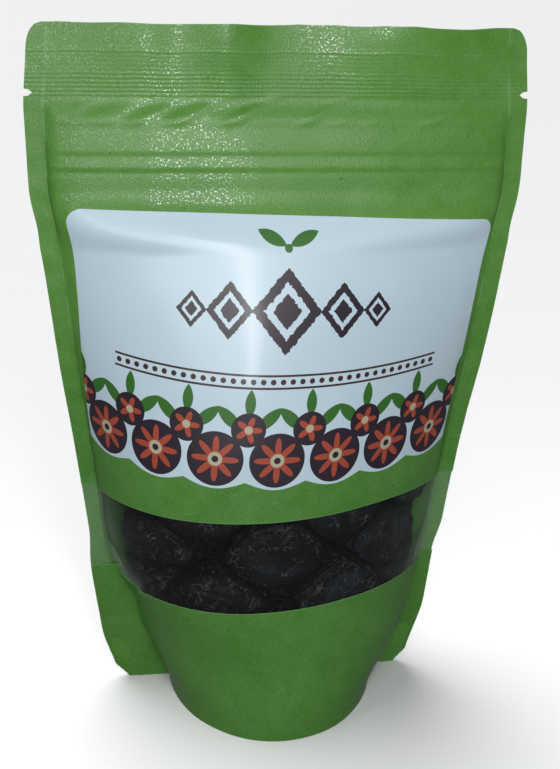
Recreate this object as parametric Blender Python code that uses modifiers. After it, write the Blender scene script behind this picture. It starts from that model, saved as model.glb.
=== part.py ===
"""Stand-up pouch of dried figs: a clear inner film with paper outside it, a back panel, a folded
bottom gusset, a label, a press-to-close strip and the dried figs that fill the lower half.

Lengths are in millimetres and are turned to metres when a mesh is made. +Z is up, the front faces
-Y and +X is at the viewer's right. The origin is the middle of the base.

The sheets don't stretch. At every height the front's curve is as long as the flat sheet between its
side seals, so the sides draw in where the belly bulges.
"""

import math
import random

import bmesh
import bpy
import numpy as np
from mathutils import Euler, Vector

MM = 0.001

# The flat pouch
FLAT_WIDTH = 160.0
HEIGHT = 235.0
SIDE_SEAL = 6.0
BOTTOM_SEAL = 6.0
GUSSET_LEG = 50.0
EDGE_LIFT = 0.03
FLOOR_SAG = 0.35
FLOOR_DRAW_IN = 0.2
WINDOW_LOW = 48.0
WINDOW_HIGH = 80.0
TOP_CORNER = (4.6, 7.2)
BOTTOM_CORNER = (4.3, 5.5)
NOTCH_DEPTH = 2.6
NOTCH_WIDTH = 2.4
NOTCH_HEIGHT = 214.3

# The filled shape, as (height, value) stations from the base up. The flat band at each side is an ear
# at the base and narrows to the side seal.
EAR_LEFT = ((0, 21.0), (30, 17.0), (48, 11.5), (62, SIDE_SEAL), (HEIGHT, SIDE_SEAL))
EAR_RIGHT = ((0, 16.5), (20, 11.6), (50, 6.5), (62, SIDE_SEAL), (HEIGHT, SIDE_SEAL))
BELLY_DEPTH = ((0, 42.2), (25, 37.6), (60, 35.4), (100, 31.3), (135, 23.1), (165, 12.8),
               (185, 2.0), (205, 1.9), (213, 0.1), (HEIGHT, 0.0))
BELLY_SKEW = ((0, 0.0), (50, -0.2), (100, -0.25), (170, -0.13), (HEIGHT, 0.0))
BELLY_ROUNDNESS = ((0, 0.53), (160, 0.95), (HEIGHT, 0.95))
SIDE_SHIFT = ((0, -1.0), (30, 0.7), (60, -1.4), (160, 0.0), (HEIGHT, 0.0))
CREASE_TAKE_UP = ((0, 0.0), (60, 1.2), (110, 0.2), (160, 2.6), (190, 0.0), (HEIGHT, 0.0))
LEAN = ((90, 0.0), (165, -4.3), (HEIGHT, -4.3))
SHOULDER_POWER = ((165, 2.0), (187, 14.0), (HEIGHT, 14.0))
TOP_DRAW_IN = ((205, 0.0), (HEIGHT, 2.4))
TOP_RIPPLE = ((205, 0.0), (HEIGHT, 1.0))
TOP_WAVES = ((-46.0, 1.8, 13.0), (-18.0, 3.0, 10.0), (42.0, 4.8, 22.0))

# The layers, from the inside out
GAP = 0.3
FILM = 0.15
PAPER = 0.2
GUSSET = 0.12
LABEL = 0.12
LABEL_GAP = 0.8
LEG_GAP = 0.5
FOLD_RADIUS = 0.5
SEALED_GAP = ((52, FOLD_RADIUS + GUSSET / 2 + LEG_GAP), (62, GAP / 2))

# The label
LABEL_SIZE = (140.0, 86.0)
LABEL_CENTRE = (0.5, 134.3)
LABEL_TILT = math.radians(-1.9)
LABEL_CORNER = 5.0
LABEL_SCALLOPS = 7
LABEL_SCALLOP_DEPTH = 2.5
LABEL_SCALLOP_COLUMNS = 8
LABEL_EDGE_BOW = 4.5
LABEL_ROWS = 9

# The press-to-close strip
ZIP_HEIGHT = 197.5
ZIP_HALF_LENGTH = 66.0
ZIP_BACK = ((1.35, -6.5), (1.35, 6.5), (1.05, 6.5), (1.05, 0.3), (-0.05, 0.3), (-0.05, 0.7),
            (-0.25, 0.7), (-0.45, 0.25), (-0.45, -0.25), (-0.25, -0.7), (-0.05, -0.7),
            (-0.05, -0.3), (1.05, -0.3), (1.05, -6.5))
ZIP_FRONT = ((-1.35, -6.5), (-1.05, -6.5), (-1.05, -1.6), (0.45, -1.6), (0.45, -0.6), (0.25, -0.6),
             (0.25, -1.1), (-1.05, -1.1), (-1.05, 1.1), (0.25, 1.1), (0.25, 0.6), (0.45, 0.6),
             (0.45, 1.6), (-1.05, 1.6), (-1.05, 6.5), (-1.35, 6.5))

# The dried figs
FIG_SEED = 7
FIG_RADII = (16.5, 14.5, 9.2)
FIG_LAYERS = 5
FIG_FIRST_LAYER = 14.0
FIG_LAYER_STEP = 17.0
FIG_RING = (0.64, 0.62)
FIG_CLEARANCE = 1.0
FIG_SPACING = 0.4
FIG_RIDGES = 6
FIG_RIDGE_DEPTH = 0.05
FIG_STEM = 0.1
FIG_SEGMENTS = 12
FIG_RINGS = 6

MITRE_REACH = 2.0
BELLY_COLUMNS = 16
SEAL_COLUMNS = 2
ROW_STEP = 10.0
EAR_ROW_STEP = 6.0
FLOOR_ROWS = 8
LEG_ROWS = 8

GREEN = ((0.105, 0.30, 0.035), 0.5)
DARK_GREEN = ((0.085, 0.25, 0.03), 0.5)
CLEAR = ((0.75, 0.80, 0.80), 0.12)
WHITE = ((0.62, 0.68, 0.72), 0.35)
FIG_BROWN = ((0.028, 0.015, 0.012), 0.45)


def smooth(stations, height):
    """A curve with no overshoot through (height, value) stations, level past both ends."""
    places = [station[0] for station in stations]
    values = [station[1] for station in stations]
    height = min(max(height, places[0]), places[-1])
    slopes = [(values[i + 1] - values[i]) / (places[i + 1] - places[i]) for i in range(len(places) - 1)]
    tangents = [0.0]
    for below, above in zip(slopes, slopes[1:]):
        tangents.append(2 * below * above / (below + above) if below * above > 0 else 0.0)
    tangents.append(0.0)
    i = max(k for k in range(len(slopes)) if k == 0 or places[k] <= height)
    span = places[i + 1] - places[i]
    t = (height - places[i]) / span
    value = values[i] * (1 + 2 * t) * (1 - t) ** 2 + values[i + 1] * t * t * (3 - 2 * t)
    return value + span * (tangents[i] * t * (1 - t) ** 2 - tangents[i + 1] * t * t * (1 - t))


def edge_inset(height):
    """How far the cut edge lies inside the flat width: corners at both ends, and the tear notch."""
    wide, tall = TOP_CORNER
    inset = 0.0
    if height > HEIGHT - tall:
        inset = wide * (1 - math.sqrt(max(1 - ((height - HEIGHT + tall) / tall) ** 2, 0.0)))
    wide, tall = BOTTOM_CORNER
    inset += wide * max(1 - height / tall, 0.0)
    inset += NOTCH_DEPTH * max(1 - abs(height - NOTCH_HEIGHT) / (NOTCH_WIDTH / 2), 0.0)
    return inset


sections = {}


def section(height):
    """The curve of one side at a height: flat distances from the middle, x and depth, seal to seal."""
    if height in sections:
        return sections[height]
    left = smooth(EAR_LEFT, height)
    right = smooth(EAR_RIGHT, height)
    across = np.sin(np.linspace(-math.pi / 2, math.pi / 2, 121))
    depth = smooth(BELLY_DEPTH, height)
    bulge = np.maximum(1 - np.abs(across) ** smooth(SHOULDER_POWER, height), 0.0)
    bulge = bulge ** smooth(BELLY_ROUNDNESS, height) * (1 + smooth(BELLY_SKEW, height) * across)
    flat = FLAT_WIDTH - left - right
    wanted = flat - smooth(CREASE_TAKE_UP, height)
    narrow, wide = 0.0, wanted / 2
    for _ in range(40):
        half = (narrow + wide) / 2
        steps = np.hypot(np.diff(half * across), np.diff(depth * bulge))
        if steps.sum() > wanted:
            wide = half
        else:
            narrow = half
    half *= 1 - smooth(TOP_DRAW_IN, height) / (FLAT_WIDTH / 2)
    along = np.concatenate(([0.0], np.cumsum(steps))) * flat / steps.sum()
    x = smooth(SIDE_SHIFT, height) + half * across
    sections[height] = (along + left - FLAT_WIDTH / 2, x, depth * bulge)
    return sections[height]


def base_point(u, height):
    """Where the flat point u of the sheet lies at a height: x, and depth out of the seal's plane."""
    along, x, depth = section(height)
    beyond = min(u - along[0], 0.0) + max(u - along[-1], 0.0)
    return np.array((np.interp(u, along, x) + beyond, np.interp(u, along, depth)))


def ripple(u, height):
    """The waves of the top edge, growing from the closure up."""
    push = sum(size * math.exp(-((u - middle) / width) ** 2) for middle, size, width in TOP_WAVES)
    return push * smooth(TOP_RIPPLE, height)


def outward(start, end):
    """Unit normal of a short stretch of the section's curve."""
    step = end - start
    return np.array((-step[1], step[0])) / np.linalg.norm(step)


def wall_point(u, height, side, offset):
    """A point on the front (side -1) or back (side 1), lifted outward by offset, also in a crease."""
    here = base_point(u, height)
    before = outward(base_point(u - MITRE_REACH, height), here)
    after = outward(here, base_point(u + MITRE_REACH, height))
    x, depth = here + offset * (before + after) / (1 + before.dot(after))
    if side > 0:
        depth += (FRONT_STACK - PAPER) * smooth(BELLY_DEPTH, height) / BELLY_DEPTH[0][1]
    return x, side * depth + smooth(LEAN, height) - ripple(u, height), height


def seal_offset(height):
    """Half of the room between front and back where they are sealed, with the gusset's legs inside."""
    (low, wide), (high, narrow) = SEALED_GAP
    share = min(max((height - low) / (high - low), 0.0), 1.0)
    return wide + (narrow - wide) * share


FRONT_STACK = FILM + GAP + PAPER
FILM_OFFSET = FILM / 2
PAPER_OFFSET = FILM + GAP + PAPER / 2
LABEL_OFFSET = FRONT_STACK + LABEL_GAP + LABEL / 2
BACK_OFFSET = PAPER / 2
LEG_OFFSET = -LEG_GAP - GUSSET / 2


def column_positions(height):
    """Flat distances of the grid's columns: the cut edge, the seal's edge, evenly over the belly."""
    along = section(height)[0]
    outer = FLAT_WIDTH / 2 - edge_inset(height)
    left = np.linspace(-outer, along[0], SEAL_COLUMNS + 1)[:-1]
    right = np.linspace(along[-1], outer, SEAL_COLUMNS + 1)[1:]
    return np.concatenate((left, np.linspace(along[0], along[-1], BELLY_COLUMNS + 1), right))


def row_heights(low, high):
    """Grid rows from low to high, with one at each feature and even steps between."""
    features = (EDGE_LIFT, BOTTOM_CORNER[1], WINDOW_LOW, WINDOW_HIGH, 187.0, 205.0,
                NOTCH_HEIGHT - NOTCH_WIDTH / 2, NOTCH_HEIGHT, NOTCH_HEIGHT + NOTCH_WIDTH / 2,
                HEIGHT - TOP_CORNER[1], HEIGHT - 1.2, HEIGHT)
    kept = [height for height in features if low <= height <= high]
    heights = []
    for start, end in zip(kept, kept[1:]):
        count = math.ceil((end - start) / (EAR_ROW_STEP if end <= WINDOW_LOW else ROW_STEP))
        heights += [start + (end - start) * k / count for k in range(count)]
    return heights + [kept[-1]]


def make_material(name, look, alpha=1.0):
    colour, roughness = look
    material = bpy.data.materials.new(name)
    material.use_nodes = True
    shader = material.node_tree.nodes["Principled BSDF"]
    shader.inputs["Base Color"].default_value = (*colour, 1.0)
    shader.inputs["Roughness"].default_value = roughness
    shader.inputs["Metallic"].default_value = 0.0
    shader.inputs["Alpha"].default_value = alpha
    return material


def add_object(name, mesh, material):
    made = bpy.data.objects.new(name, mesh)
    parts.objects.link(made)
    mesh.materials.append(material)
    return made


def add_sheet(name, columns, rows, place, thickness, material, folded=False):
    """An open grid whose corners lie where place(column, row) says, given its thickness.

    Neighbouring sheets are split along the same diagonals, so a folded one turns its second half's.
    """
    grid = bmesh.new()
    bmesh.ops.create_grid(grid, x_segments=columns, y_segments=rows, size=0.5)
    second_half = [face for face in grid.faces if folded and face.calc_center_median().y > 0]
    for corner in grid.verts:
        column = round((corner.co.x + 0.5) * columns)
        row = round((corner.co.y + 0.5) * rows)
        corner.co = Vector(place(column, row)) * MM
    bmesh.ops.triangulate(grid, faces=second_half, quad_method="ALTERNATE")
    bmesh.ops.triangulate(grid, faces=grid.faces, quad_method="FIXED")
    mesh = bpy.data.meshes.new(name)
    grid.to_mesh(mesh)
    grid.free()
    mesh.shade_smooth()
    made = add_object(name, mesh, material)
    solid = made.modifiers.new("thickness", "SOLIDIFY")
    solid.thickness = thickness * MM
    solid.offset = 0.0
    solid.use_even_offset = not folded


def add_panel(name, low, high, side, offset, thickness, material):
    """A full-width sheet of the front or the back, between two heights."""
    heights = row_heights(low, high)
    columns = [column_positions(height) for height in heights]

    def place(column, row):
        height = heights[row]
        return wall_point(columns[row][column], height, side, seal_offset(height) + offset)

    add_sheet(name, len(columns[0]) - 1, len(heights) - 1, place, thickness, material)


def seal_height(column):
    """Height that the gusset is sealed to on the panels: low in the middle, its full leg at the sides."""
    t = min(max((column - SEAL_COLUMNS) / BELLY_COLUMNS, 0.0), 1.0)
    return BOTTOM_SEAL + (GUSSET_LEG - BOTTOM_SEAL) * abs(2 * t - 1) ** 2.5


def leg_point(column, height, side):
    u = column_positions(height)[column]
    return wall_point(u, height, side, seal_offset(height) + LEG_OFFSET)


def floor_dip(column):
    """How far the floor sags below its seal: what is left of each leg spans half of the opening."""
    height = seal_height(column)
    depth = (leg_point(column, height, 1)[1] - leg_point(column, height, -1)[1]) / 2
    slack = math.sqrt(max((GUSSET_LEG - height) ** 2 - depth ** 2, 0.0))
    return min(slack, FLOOR_SAG * depth)


def floor_point(column, across):
    """A point of the floor, from the front seal (across -1) to the back seal (across 1)."""
    height = seal_height(column)
    x, front = leg_point(column, height, -1)[:2]
    back = leg_point(column, height, 1)[1]
    sag = floor_dip(column) * (1 - across ** 2)
    arch = FOLD_RADIUS * math.sqrt(1 - across ** 2)
    y = front + (back - front) * (across + 1) / 2
    drawn_in = FLOOR_DRAW_IN * (back - front) / 2 * (1 - across ** 2) * 2 * x / FLAT_WIDTH
    return x - drawn_in, y, max(height + arch - sag, GUSSET / 2)


def add_gusset(material):
    """The folded sheet: up the inside of the front, across the floor, down the inside of the back."""

    def place(column, row):
        from_front = row - LEG_ROWS
        from_back = FLOOR_ROWS + LEG_ROWS - row
        if from_front >= 0 and from_back >= 0:
            return floor_point(column, 2 * from_front / FLOOR_ROWS - 1)
        side = -1 if from_front < 0 else 1
        share = 1 + min(from_front, from_back) / LEG_ROWS
        height = EDGE_LIFT + (seal_height(column) - EDGE_LIFT) * share
        return leg_point(column, height, side)

    columns = BELLY_COLUMNS + 2 * SEAL_COLUMNS
    add_sheet("bottom_gusset", columns, FLOOR_ROWS + 2 * LEG_ROWS, place, GUSSET, material,
              folded=True)


def add_label(material):
    """The label: rounded top corners, a scalloped lower edge, laid on the front paper."""
    wide, tall = LABEL_SIZE
    columns = np.linspace(-wide / 2, wide / 2, LABEL_SCALLOPS * LABEL_SCALLOP_COLUMNS + 1)

    def place(column, row):
        u = columns[column]
        past = max(abs(u) - wide / 2 + LABEL_CORNER, 0.0)
        top = tall / 2 - LABEL_CORNER + math.sqrt(LABEL_CORNER ** 2 - past ** 2)
        notch = 1 - abs(math.sin(math.pi * LABEL_SCALLOPS * (u / wide + 0.5)))
        bottom = -tall / 2 + LABEL_EDGE_BOW * (2 * u / wide) ** 2 + LABEL_SCALLOP_DEPTH * notch
        v = bottom + (top - bottom) * row / LABEL_ROWS
        turned = u * math.cos(LABEL_TILT) - v * math.sin(LABEL_TILT)
        height = LABEL_CENTRE[1] + u * math.sin(LABEL_TILT) + v * math.cos(LABEL_TILT)
        return wall_point(LABEL_CENTRE[0] + turned, height, -1, seal_offset(height) + LABEL_OFFSET)

    add_sheet("label", len(columns) - 1, LABEL_ROWS, place, LABEL, material)


def add_zip(name, profile, material):
    """Half of the press-to-close strip: its profile of (y, z) corners, drawn out across the pouch."""
    lean = smooth(LEAN, ZIP_HEIGHT)
    strip = bmesh.new()
    corners = [strip.verts.new(Vector((-ZIP_HALF_LENGTH, y + lean, z + ZIP_HEIGHT)) * MM)
               for y, z in profile]
    end = strip.faces.new(corners)
    drawn = bmesh.ops.extrude_face_region(strip, geom=[end])
    moved = [item for item in drawn["geom"] if isinstance(item, bmesh.types.BMVert)]
    bmesh.ops.translate(strip, verts=moved, vec=Vector((2 * ZIP_HALF_LENGTH * MM, 0, 0)))
    bmesh.ops.recalc_face_normals(strip, faces=strip.faces)
    mesh = bpy.data.meshes.new(name)
    strip.to_mesh(mesh)
    strip.free()
    add_object(name, mesh, material)


def half_depth(x, height):
    """Depth of the inside at x, measured from the seals' plane."""
    _, xs, depth = section(height)
    return np.interp(x, xs, depth, left=0.0, right=0.0)


def floor_height(x, y):
    """Height of the gusset's floor at a place inside, read between its rows and columns."""
    reach = max(np.interp(x, floor_x, floor_depth), 0.1)
    place = min(max((y / reach + 1) / 2, 0.0), 0.999) * FLOOR_ROWS
    row = int(place)
    here = np.interp(x, floor_x, floor_rows[row])
    beyond = np.interp(x, floor_x, floor_rows[row + 1])
    return here + (beyond - here) * (place - row)


def inside(point):
    """True where a fig may be: clear of the walls and of the floor."""
    x, y, z = point
    lean = smooth(LEAN, z)
    if abs(y - lean) > half_depth(x, z) - FIG_CLEARANCE:
        return False
    return z > floor_height(x, y) + FIG_CLEARANCE + GUSSET / 2


def fig_places():
    """Centre and turn of each dried fig: a ring against the walls and one in the middle, by layers."""
    draw = random.Random(FIG_SEED)
    places = []
    for layer in range(FIG_LAYERS):
        height = FIG_FIRST_LAYER + layer * FIG_LAYER_STEP
        xs = section(height)[1]
        middle = (xs[0] + xs[-1]) / 2
        reach_x = (xs[-1] - xs[0]) / 2 * FIG_RING[0]
        reach_y = smooth(BELLY_DEPTH, height) * FIG_RING[1]
        ring = 5 if layer == 0 else 6
        for k in range(ring):
            angle = math.tau * (k + 0.5 * (layer % 2) + draw.uniform(-0.07, 0.07)) / ring
            place = (middle + reach_x * math.cos(angle), reach_y * math.sin(angle),
                     height + draw.uniform(-2.0, 2.0))
            along = math.atan2(reach_y * math.cos(angle), -reach_x * math.sin(angle))
            turn = Euler((draw.uniform(-0.3, 0.3), draw.uniform(-0.3, 0.3), along))
            places.append((Vector(place), turn.to_matrix()))
        centre = Vector((middle + draw.uniform(-4, 4), draw.uniform(-2, 2), height + 2.0))
        places.append((centre, Euler((0.0, draw.uniform(-0.2, 0.2), draw.uniform(-0.3, 0.3))).to_matrix()))
    return places


def fig_reach(direction, turn, neighbours):
    """Distance from a fig's centre to its skin: an oval, pressed flat against its neighbours."""
    local = turn.transposed() @ direction
    oval = math.sqrt(sum((local[k] / FIG_RADII[k]) ** 2 for k in range(3)))
    squeeze = oval ** 8
    for way in neighbours:
        distance = way.length
        facing = direction.dot(way) / distance
        if facing > 0:
            squeeze += (facing / (distance / 2 - FIG_SPACING / 2)) ** 8
    turned = math.atan2(local.z * FIG_RADII[0], local.y * FIG_RADII[0])
    ridge = FIG_RIDGE_DEPTH * (1 - abs(local.x)) * (1 + math.cos(FIG_RIDGES * turned)) / 2
    stem = FIG_STEM * max(local.x, 0.0) ** 6
    return squeeze ** (-1 / 8) * (1 - ridge) * (1 - stem)


def add_fig(name, centre, turn, others, material):
    """One dried fig, drawn back wherever it would reach the walls or the floor."""
    neighbours = [other - centre for other in others if 0 < (other - centre).length < 3 * FIG_RADII[0]]
    ball = bmesh.new()
    bmesh.ops.create_uvsphere(ball, u_segments=FIG_SEGMENTS, v_segments=FIG_RINGS, radius=1.0)
    pole_along_x = Euler((0.0, math.pi / 2, 0.0)).to_matrix()
    for corner in ball.verts:
        direction = (turn @ pole_along_x @ corner.co).normalized()
        reach = fig_reach(direction, turn, neighbours)
        while not inside(centre + direction * reach):
            reach *= 0.97
        corner.co = (centre + direction * reach) * MM
    mesh = bpy.data.meshes.new(name)
    ball.to_mesh(mesh)
    ball.free()
    mesh.shade_smooth()
    add_object(name, mesh, material)


for old in list(bpy.data.objects):
    bpy.data.objects.remove(old)

parts = bpy.data.collections.new("stand_up_pouch")
bpy.context.scene.collection.children.link(parts)

film_material = make_material("clear_film", CLEAR, alpha=0.3)
paper_material = make_material("green_paper", GREEN)
back_material = make_material("green_back", DARK_GREEN)
gusset_material = make_material("green_gusset", DARK_GREEN)
label_material = make_material("white_label", WHITE)
zip_material = make_material("zip_plastic", CLEAR, alpha=0.6)
fig_material = make_material("dried_fig", FIG_BROWN)

add_panel("front_film", EDGE_LIFT, HEIGHT, -1, FILM_OFFSET, FILM, film_material)
add_panel("front_paper_upper", WINDOW_HIGH, HEIGHT, -1, PAPER_OFFSET, PAPER, paper_material)
add_panel("front_paper_lower", EDGE_LIFT, WINDOW_LOW, -1, PAPER_OFFSET, PAPER, paper_material)
add_panel("back_panel", EDGE_LIFT, HEIGHT, 1, BACK_OFFSET, PAPER, back_material)
add_gusset(gusset_material)
add_label(label_material)
add_zip("zip_rib_back", ZIP_BACK, zip_material)
add_zip("zip_lips_front", ZIP_FRONT, zip_material)

floor_columns = range(SEAL_COLUMNS, SEAL_COLUMNS + BELLY_COLUMNS + 1)
floor_rows = [[floor_point(column, 2 * row / FLOOR_ROWS - 1)[2] for column in floor_columns]
              for row in range(FLOOR_ROWS + 1)]
floor_x = [floor_point(column, 0.0)[0] for column in floor_columns]
floor_depth = [leg_point(column, seal_height(column), 1)[1] for column in floor_columns]
figs = fig_places()
for number, (centre, turn) in enumerate(figs, start=1):
    others = [place for place, _ in figs if place is not centre]
    add_fig(f"dried_fig_{number:02d}", centre, turn, others, fig_material)
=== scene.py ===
import math

import bmesh
import bpy
import numpy as np
from mathutils import Matrix, Vector, noise


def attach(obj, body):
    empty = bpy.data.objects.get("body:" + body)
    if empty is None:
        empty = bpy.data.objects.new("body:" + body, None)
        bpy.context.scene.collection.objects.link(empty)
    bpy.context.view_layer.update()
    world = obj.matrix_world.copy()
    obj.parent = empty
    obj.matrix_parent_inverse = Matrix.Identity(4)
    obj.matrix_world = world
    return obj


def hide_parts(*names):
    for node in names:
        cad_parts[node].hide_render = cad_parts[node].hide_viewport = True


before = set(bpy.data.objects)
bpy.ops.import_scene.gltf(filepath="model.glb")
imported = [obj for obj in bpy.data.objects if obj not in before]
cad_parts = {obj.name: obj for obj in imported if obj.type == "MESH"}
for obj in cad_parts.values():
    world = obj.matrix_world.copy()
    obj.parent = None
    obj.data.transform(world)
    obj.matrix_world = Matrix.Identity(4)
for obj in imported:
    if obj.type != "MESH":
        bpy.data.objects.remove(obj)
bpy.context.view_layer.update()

# Clear film: one continuous sheet of glossy plastic, the full size of the front, heat-sealed to the back
# at the top and down both sides. The papers are laminated on it, and it is bare in the window band.
# Every other sheet follows it, so the flat pouch and the shape that it takes when filled are set here.
MM = 0.001
FLAT_WIDTH = 160.0
HEIGHT = 235.0
SIDE_SEAL = 6.0
GUSSET_LEG = 50.0
EDGE_LIFT = 0.03
TOP_CORNER = (4.6, 7.2)
BOTTOM_CORNER = (4.3, 5.5)
NOTCH_HEIGHT = 214.3
NOTCH_WIDTH = 2.3
NOTCH_DEPTH = (1.2, 2.6)

# The filled shape, as (height, value) stations from the base up. The flat band at each side is an ear
# at the base and narrows to the side seal.
EAR_LEFT = ((0, 21.0), (30, 17.0), (48, 11.5), (62, SIDE_SEAL), (HEIGHT, SIDE_SEAL))
EAR_RIGHT = ((0, 16.5), (20, 11.6), (50, 6.5), (62, SIDE_SEAL), (HEIGHT, SIDE_SEAL))
BELLY_DEPTH = ((0, 42.2), (25, 37.6), (60, 35.4), (100, 31.3), (135, 23.1), (165, 12.8),
               (185, 2.0), (205, 1.9), (213, 0.1), (HEIGHT, 0.0))
BELLY_SKEW = ((0, 0.0), (50, -0.2), (100, -0.25), (170, -0.13), (HEIGHT, 0.0))
BELLY_ROUNDNESS = ((0, 0.53), (160, 0.95), (HEIGHT, 0.95))
SIDE_SHIFT = ((0, -1.0), (30, 0.7), (60, -1.4), (160, 0.0), (HEIGHT, 0.0))
CREASE_TAKE_UP = ((0, 0.0), (60, 1.2), (110, 0.2), (160, 2.6), (190, 0.0), (HEIGHT, 0.0))
LEAN = ((90, 0.0), (165, -4.3), (HEIGHT, -4.3))
SHOULDER_POWER = ((165, 2.0), (187, 14.0), (HEIGHT, 14.0))
TOP_DRAW_IN = ((205, 0.0), (HEIGHT, 2.4))
TOP_RIPPLE = ((205, 0.0), (HEIGHT, 1.0))
BACK_EXTRA = 0.45
SECTION_POINTS = 121
HALVINGS = 40

# Where the walls stand: nearly touching where they are sealed, further out over the belly
SEAL_LIFT = ((44, 54), (0.28, 0.03))
BELLY_LIFT = ((52, 62), (1.38, 0.47))
LIFT_DEPTH = 4.0
FILM = 0.12
BOND = 0.05
CREASE_RADIUS = 1.2
CREASE_SAMPLES = 5
MITRE_REACH = 2.0

# Waves that both walls share: (middle, size, width) along the top edge, and (size, wide, tall, seed)
TOP_WAVES = ((-46.0, 1.8, 13.0), (-18.0, 3.0, 10.0), (42.0, 4.8, 22.0))
TOP_WAVER = (1.1, 17.0, 60.0, 21.3)
SEAL_WAVES = ((1, 9.0, 6.0, 3.7), (2, 30.0, 26.0, 8.1))
SEAL_WAVE = 0.22
SEAL_WAVE_REACH = (14.0, 10.0)

# Relief pressed into one wall: stations, (wide, tall, seed) of noise, and tucks as
# (middle, height, wide, tall, slope, size)
RIB_PITCH = 1.3
RIB_HEIGHT = 0.1
RIB_STRENGTH = ((213, 0.0), (213.6, 1.0), (220, 1.0), (221.5, 0.25), (225.6, 0.25), (226.4, 1.0),
                (227.6, 1.0), (228.2, 0.0))
CLOSURE_RELIEF = ((189.2, 0.0), (190.2, -0.12), (191.9, 0.27), (194.3, 0.02), (195.3, -0.1), (196.8, 0.14),
                  (199.5, 0.05), (203.6, -0.3), (207.0, 0.0))
TOP_TILT = ((158, 0.0), (184, 1.7), (200, 1.1), (213, 0.0))
SLANT_ZONE = (208.6, 3.4, 0.55)
SLANT_NOISE = (8.0, 30.0, 9.2)
SLANT = -2.0
SWAY = ((162, 0.0), (182, 0.55), (204, 0.55), (212, 0.0))
SWAY_NOISE = (21.0, 36.0, 1.7)
FIG_PRESS = 0.45
PRESS_START = 8.0
PRESS_FULL = 18.0
PRESS_NOISE = ((1.6, 25.0, 21.0, 0.0), (0.5, 11.0, 14.0, 4.4))
PRESS_LEVEL = 1.4
PRESS_MOST = 3.0
SEAL_STEP = 0.2
SEAL_STEP_WIDTH = 2.0
TOP_SEAL_STEP = (206.0, 8.0)
TUCKS = ((-55.0, 41.0, 5.0, 9.0, 0.55, -1.5), (-47.5, 47.0, 3.2, 6.0, 0.6, 0.9),
         (-59.5, 30.0, 2.2, 12.0, -0.2, 0.8), (62.0, 36.0, 2.2, 11.0, 0.2, 0.8),
         (66.0, 18.0, 4.0, 6.0, 0.1, 0.5), (-68.0, 61.0, 1.2, 6.0, -0.3, 0.45),
         (-70.0, 70.0, 1.6, 7.0, 0.25, 0.35))

SEAL_COLUMNS = 12
BELLY_COLUMNS = 120
NOTCH_STEP = 0.03
LEAST_ROW = 0.02
ROW_ZONES = ((EDGE_LIFT, 6.0, 0.8), (6.0, 187.0, 1.0), (187.0, 206.0, 0.7), (206.0, 213.0, 1.0),
             (213.0, 228.2, RIB_PITCH / 4), (228.2, HEIGHT, 0.55))
EDGE_ANGLE = math.radians(40)


def smooth(stations, height):
    """A curve with no overshoot through (height, value) stations, level past both ends."""
    places = [station[0] for station in stations]
    values = [station[1] for station in stations]
    height = min(max(height, places[0]), places[-1])
    slopes = [(values[i + 1] - values[i]) / (places[i + 1] - places[i]) for i in range(len(places) - 1)]
    tangents = [0.0]
    for below, above in zip(slopes, slopes[1:]):
        tangents.append(2 * below * above / (below + above) if below * above > 0 else 0.0)
    tangents.append(0.0)
    i = max(k for k in range(len(slopes)) if k == 0 or places[k] <= height)
    span = places[i + 1] - places[i]
    t = (height - places[i]) / span
    value = values[i] * (1 + 2 * t) * (1 - t) ** 2 + values[i + 1] * t * t * (3 - 2 * t)
    return value + span * (tangents[i] * t * (1 - t) ** 2 - tangents[i + 1] * t * t * (1 - t))


def edge_inset(height):
    """How far the cut edge lies inside the flat width: corners at both ends, and the tear notch."""
    wide, tall = TOP_CORNER
    inset = 0.0
    if height > HEIGHT - tall:
        inset = wide * (1 - math.sqrt(max(1 - ((height - HEIGHT + tall) / tall) ** 2, 0.0)))
    wide, tall = BOTTOM_CORNER
    inset += wide * max(1 - height / tall, 0.0)
    off_notch = abs(height - NOTCH_HEIGHT) / (NOTCH_WIDTH / 2)
    if off_notch <= 1:
        inset += NOTCH_DEPTH[1] + (NOTCH_DEPTH[0] - NOTCH_DEPTH[1]) * off_notch
    return inset


sections = {}


def section(height):
    """The curve of one side at a height: flat distances from the middle, x and depth, seal to seal."""
    if height in sections:
        return sections[height]
    left = smooth(EAR_LEFT, height)
    right = smooth(EAR_RIGHT, height)
    across = np.sin(np.linspace(-math.pi / 2, math.pi / 2, SECTION_POINTS))
    depth = smooth(BELLY_DEPTH, height)
    bulge = np.maximum(1 - np.abs(across) ** smooth(SHOULDER_POWER, height), 0.0)
    bulge = bulge ** smooth(BELLY_ROUNDNESS, height) * (1 + smooth(BELLY_SKEW, height) * across)
    flat = FLAT_WIDTH - left - right
    wanted = flat - smooth(CREASE_TAKE_UP, height)
    narrow, wide = 0.0, wanted / 2
    for _ in range(HALVINGS):
        half = (narrow + wide) / 2
        steps = np.hypot(np.diff(half * across), np.diff(depth * bulge))
        if steps.sum() > wanted:
            wide = half
        else:
            narrow = half
    half *= 1 - smooth(TOP_DRAW_IN, height) / (FLAT_WIDTH / 2)
    along = np.concatenate(([0.0], np.cumsum(steps))) * flat / steps.sum()
    x = smooth(SIDE_SHIFT, height) + half * across
    sections[height] = (along + left - FLAT_WIDTH / 2, x, depth * bulge)
    return sections[height]


def base_row(us, height):
    """Where flat points of one row lie: x, and depth out of the seal's plane, with rounded creases."""
    along, x, depth = section(height)
    points = np.zeros((len(us), 2))
    for shift in np.linspace(-CREASE_RADIUS, CREASE_RADIUS, CREASE_SAMPLES):
        moved = us + shift
        beyond = np.minimum(moved - along[0], 0.0) + np.maximum(moved - along[-1], 0.0)
        points += np.stack((np.interp(moved, along, x) + beyond, np.interp(moved, along, depth)), axis=1)
    return points / CREASE_SAMPLES


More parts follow.
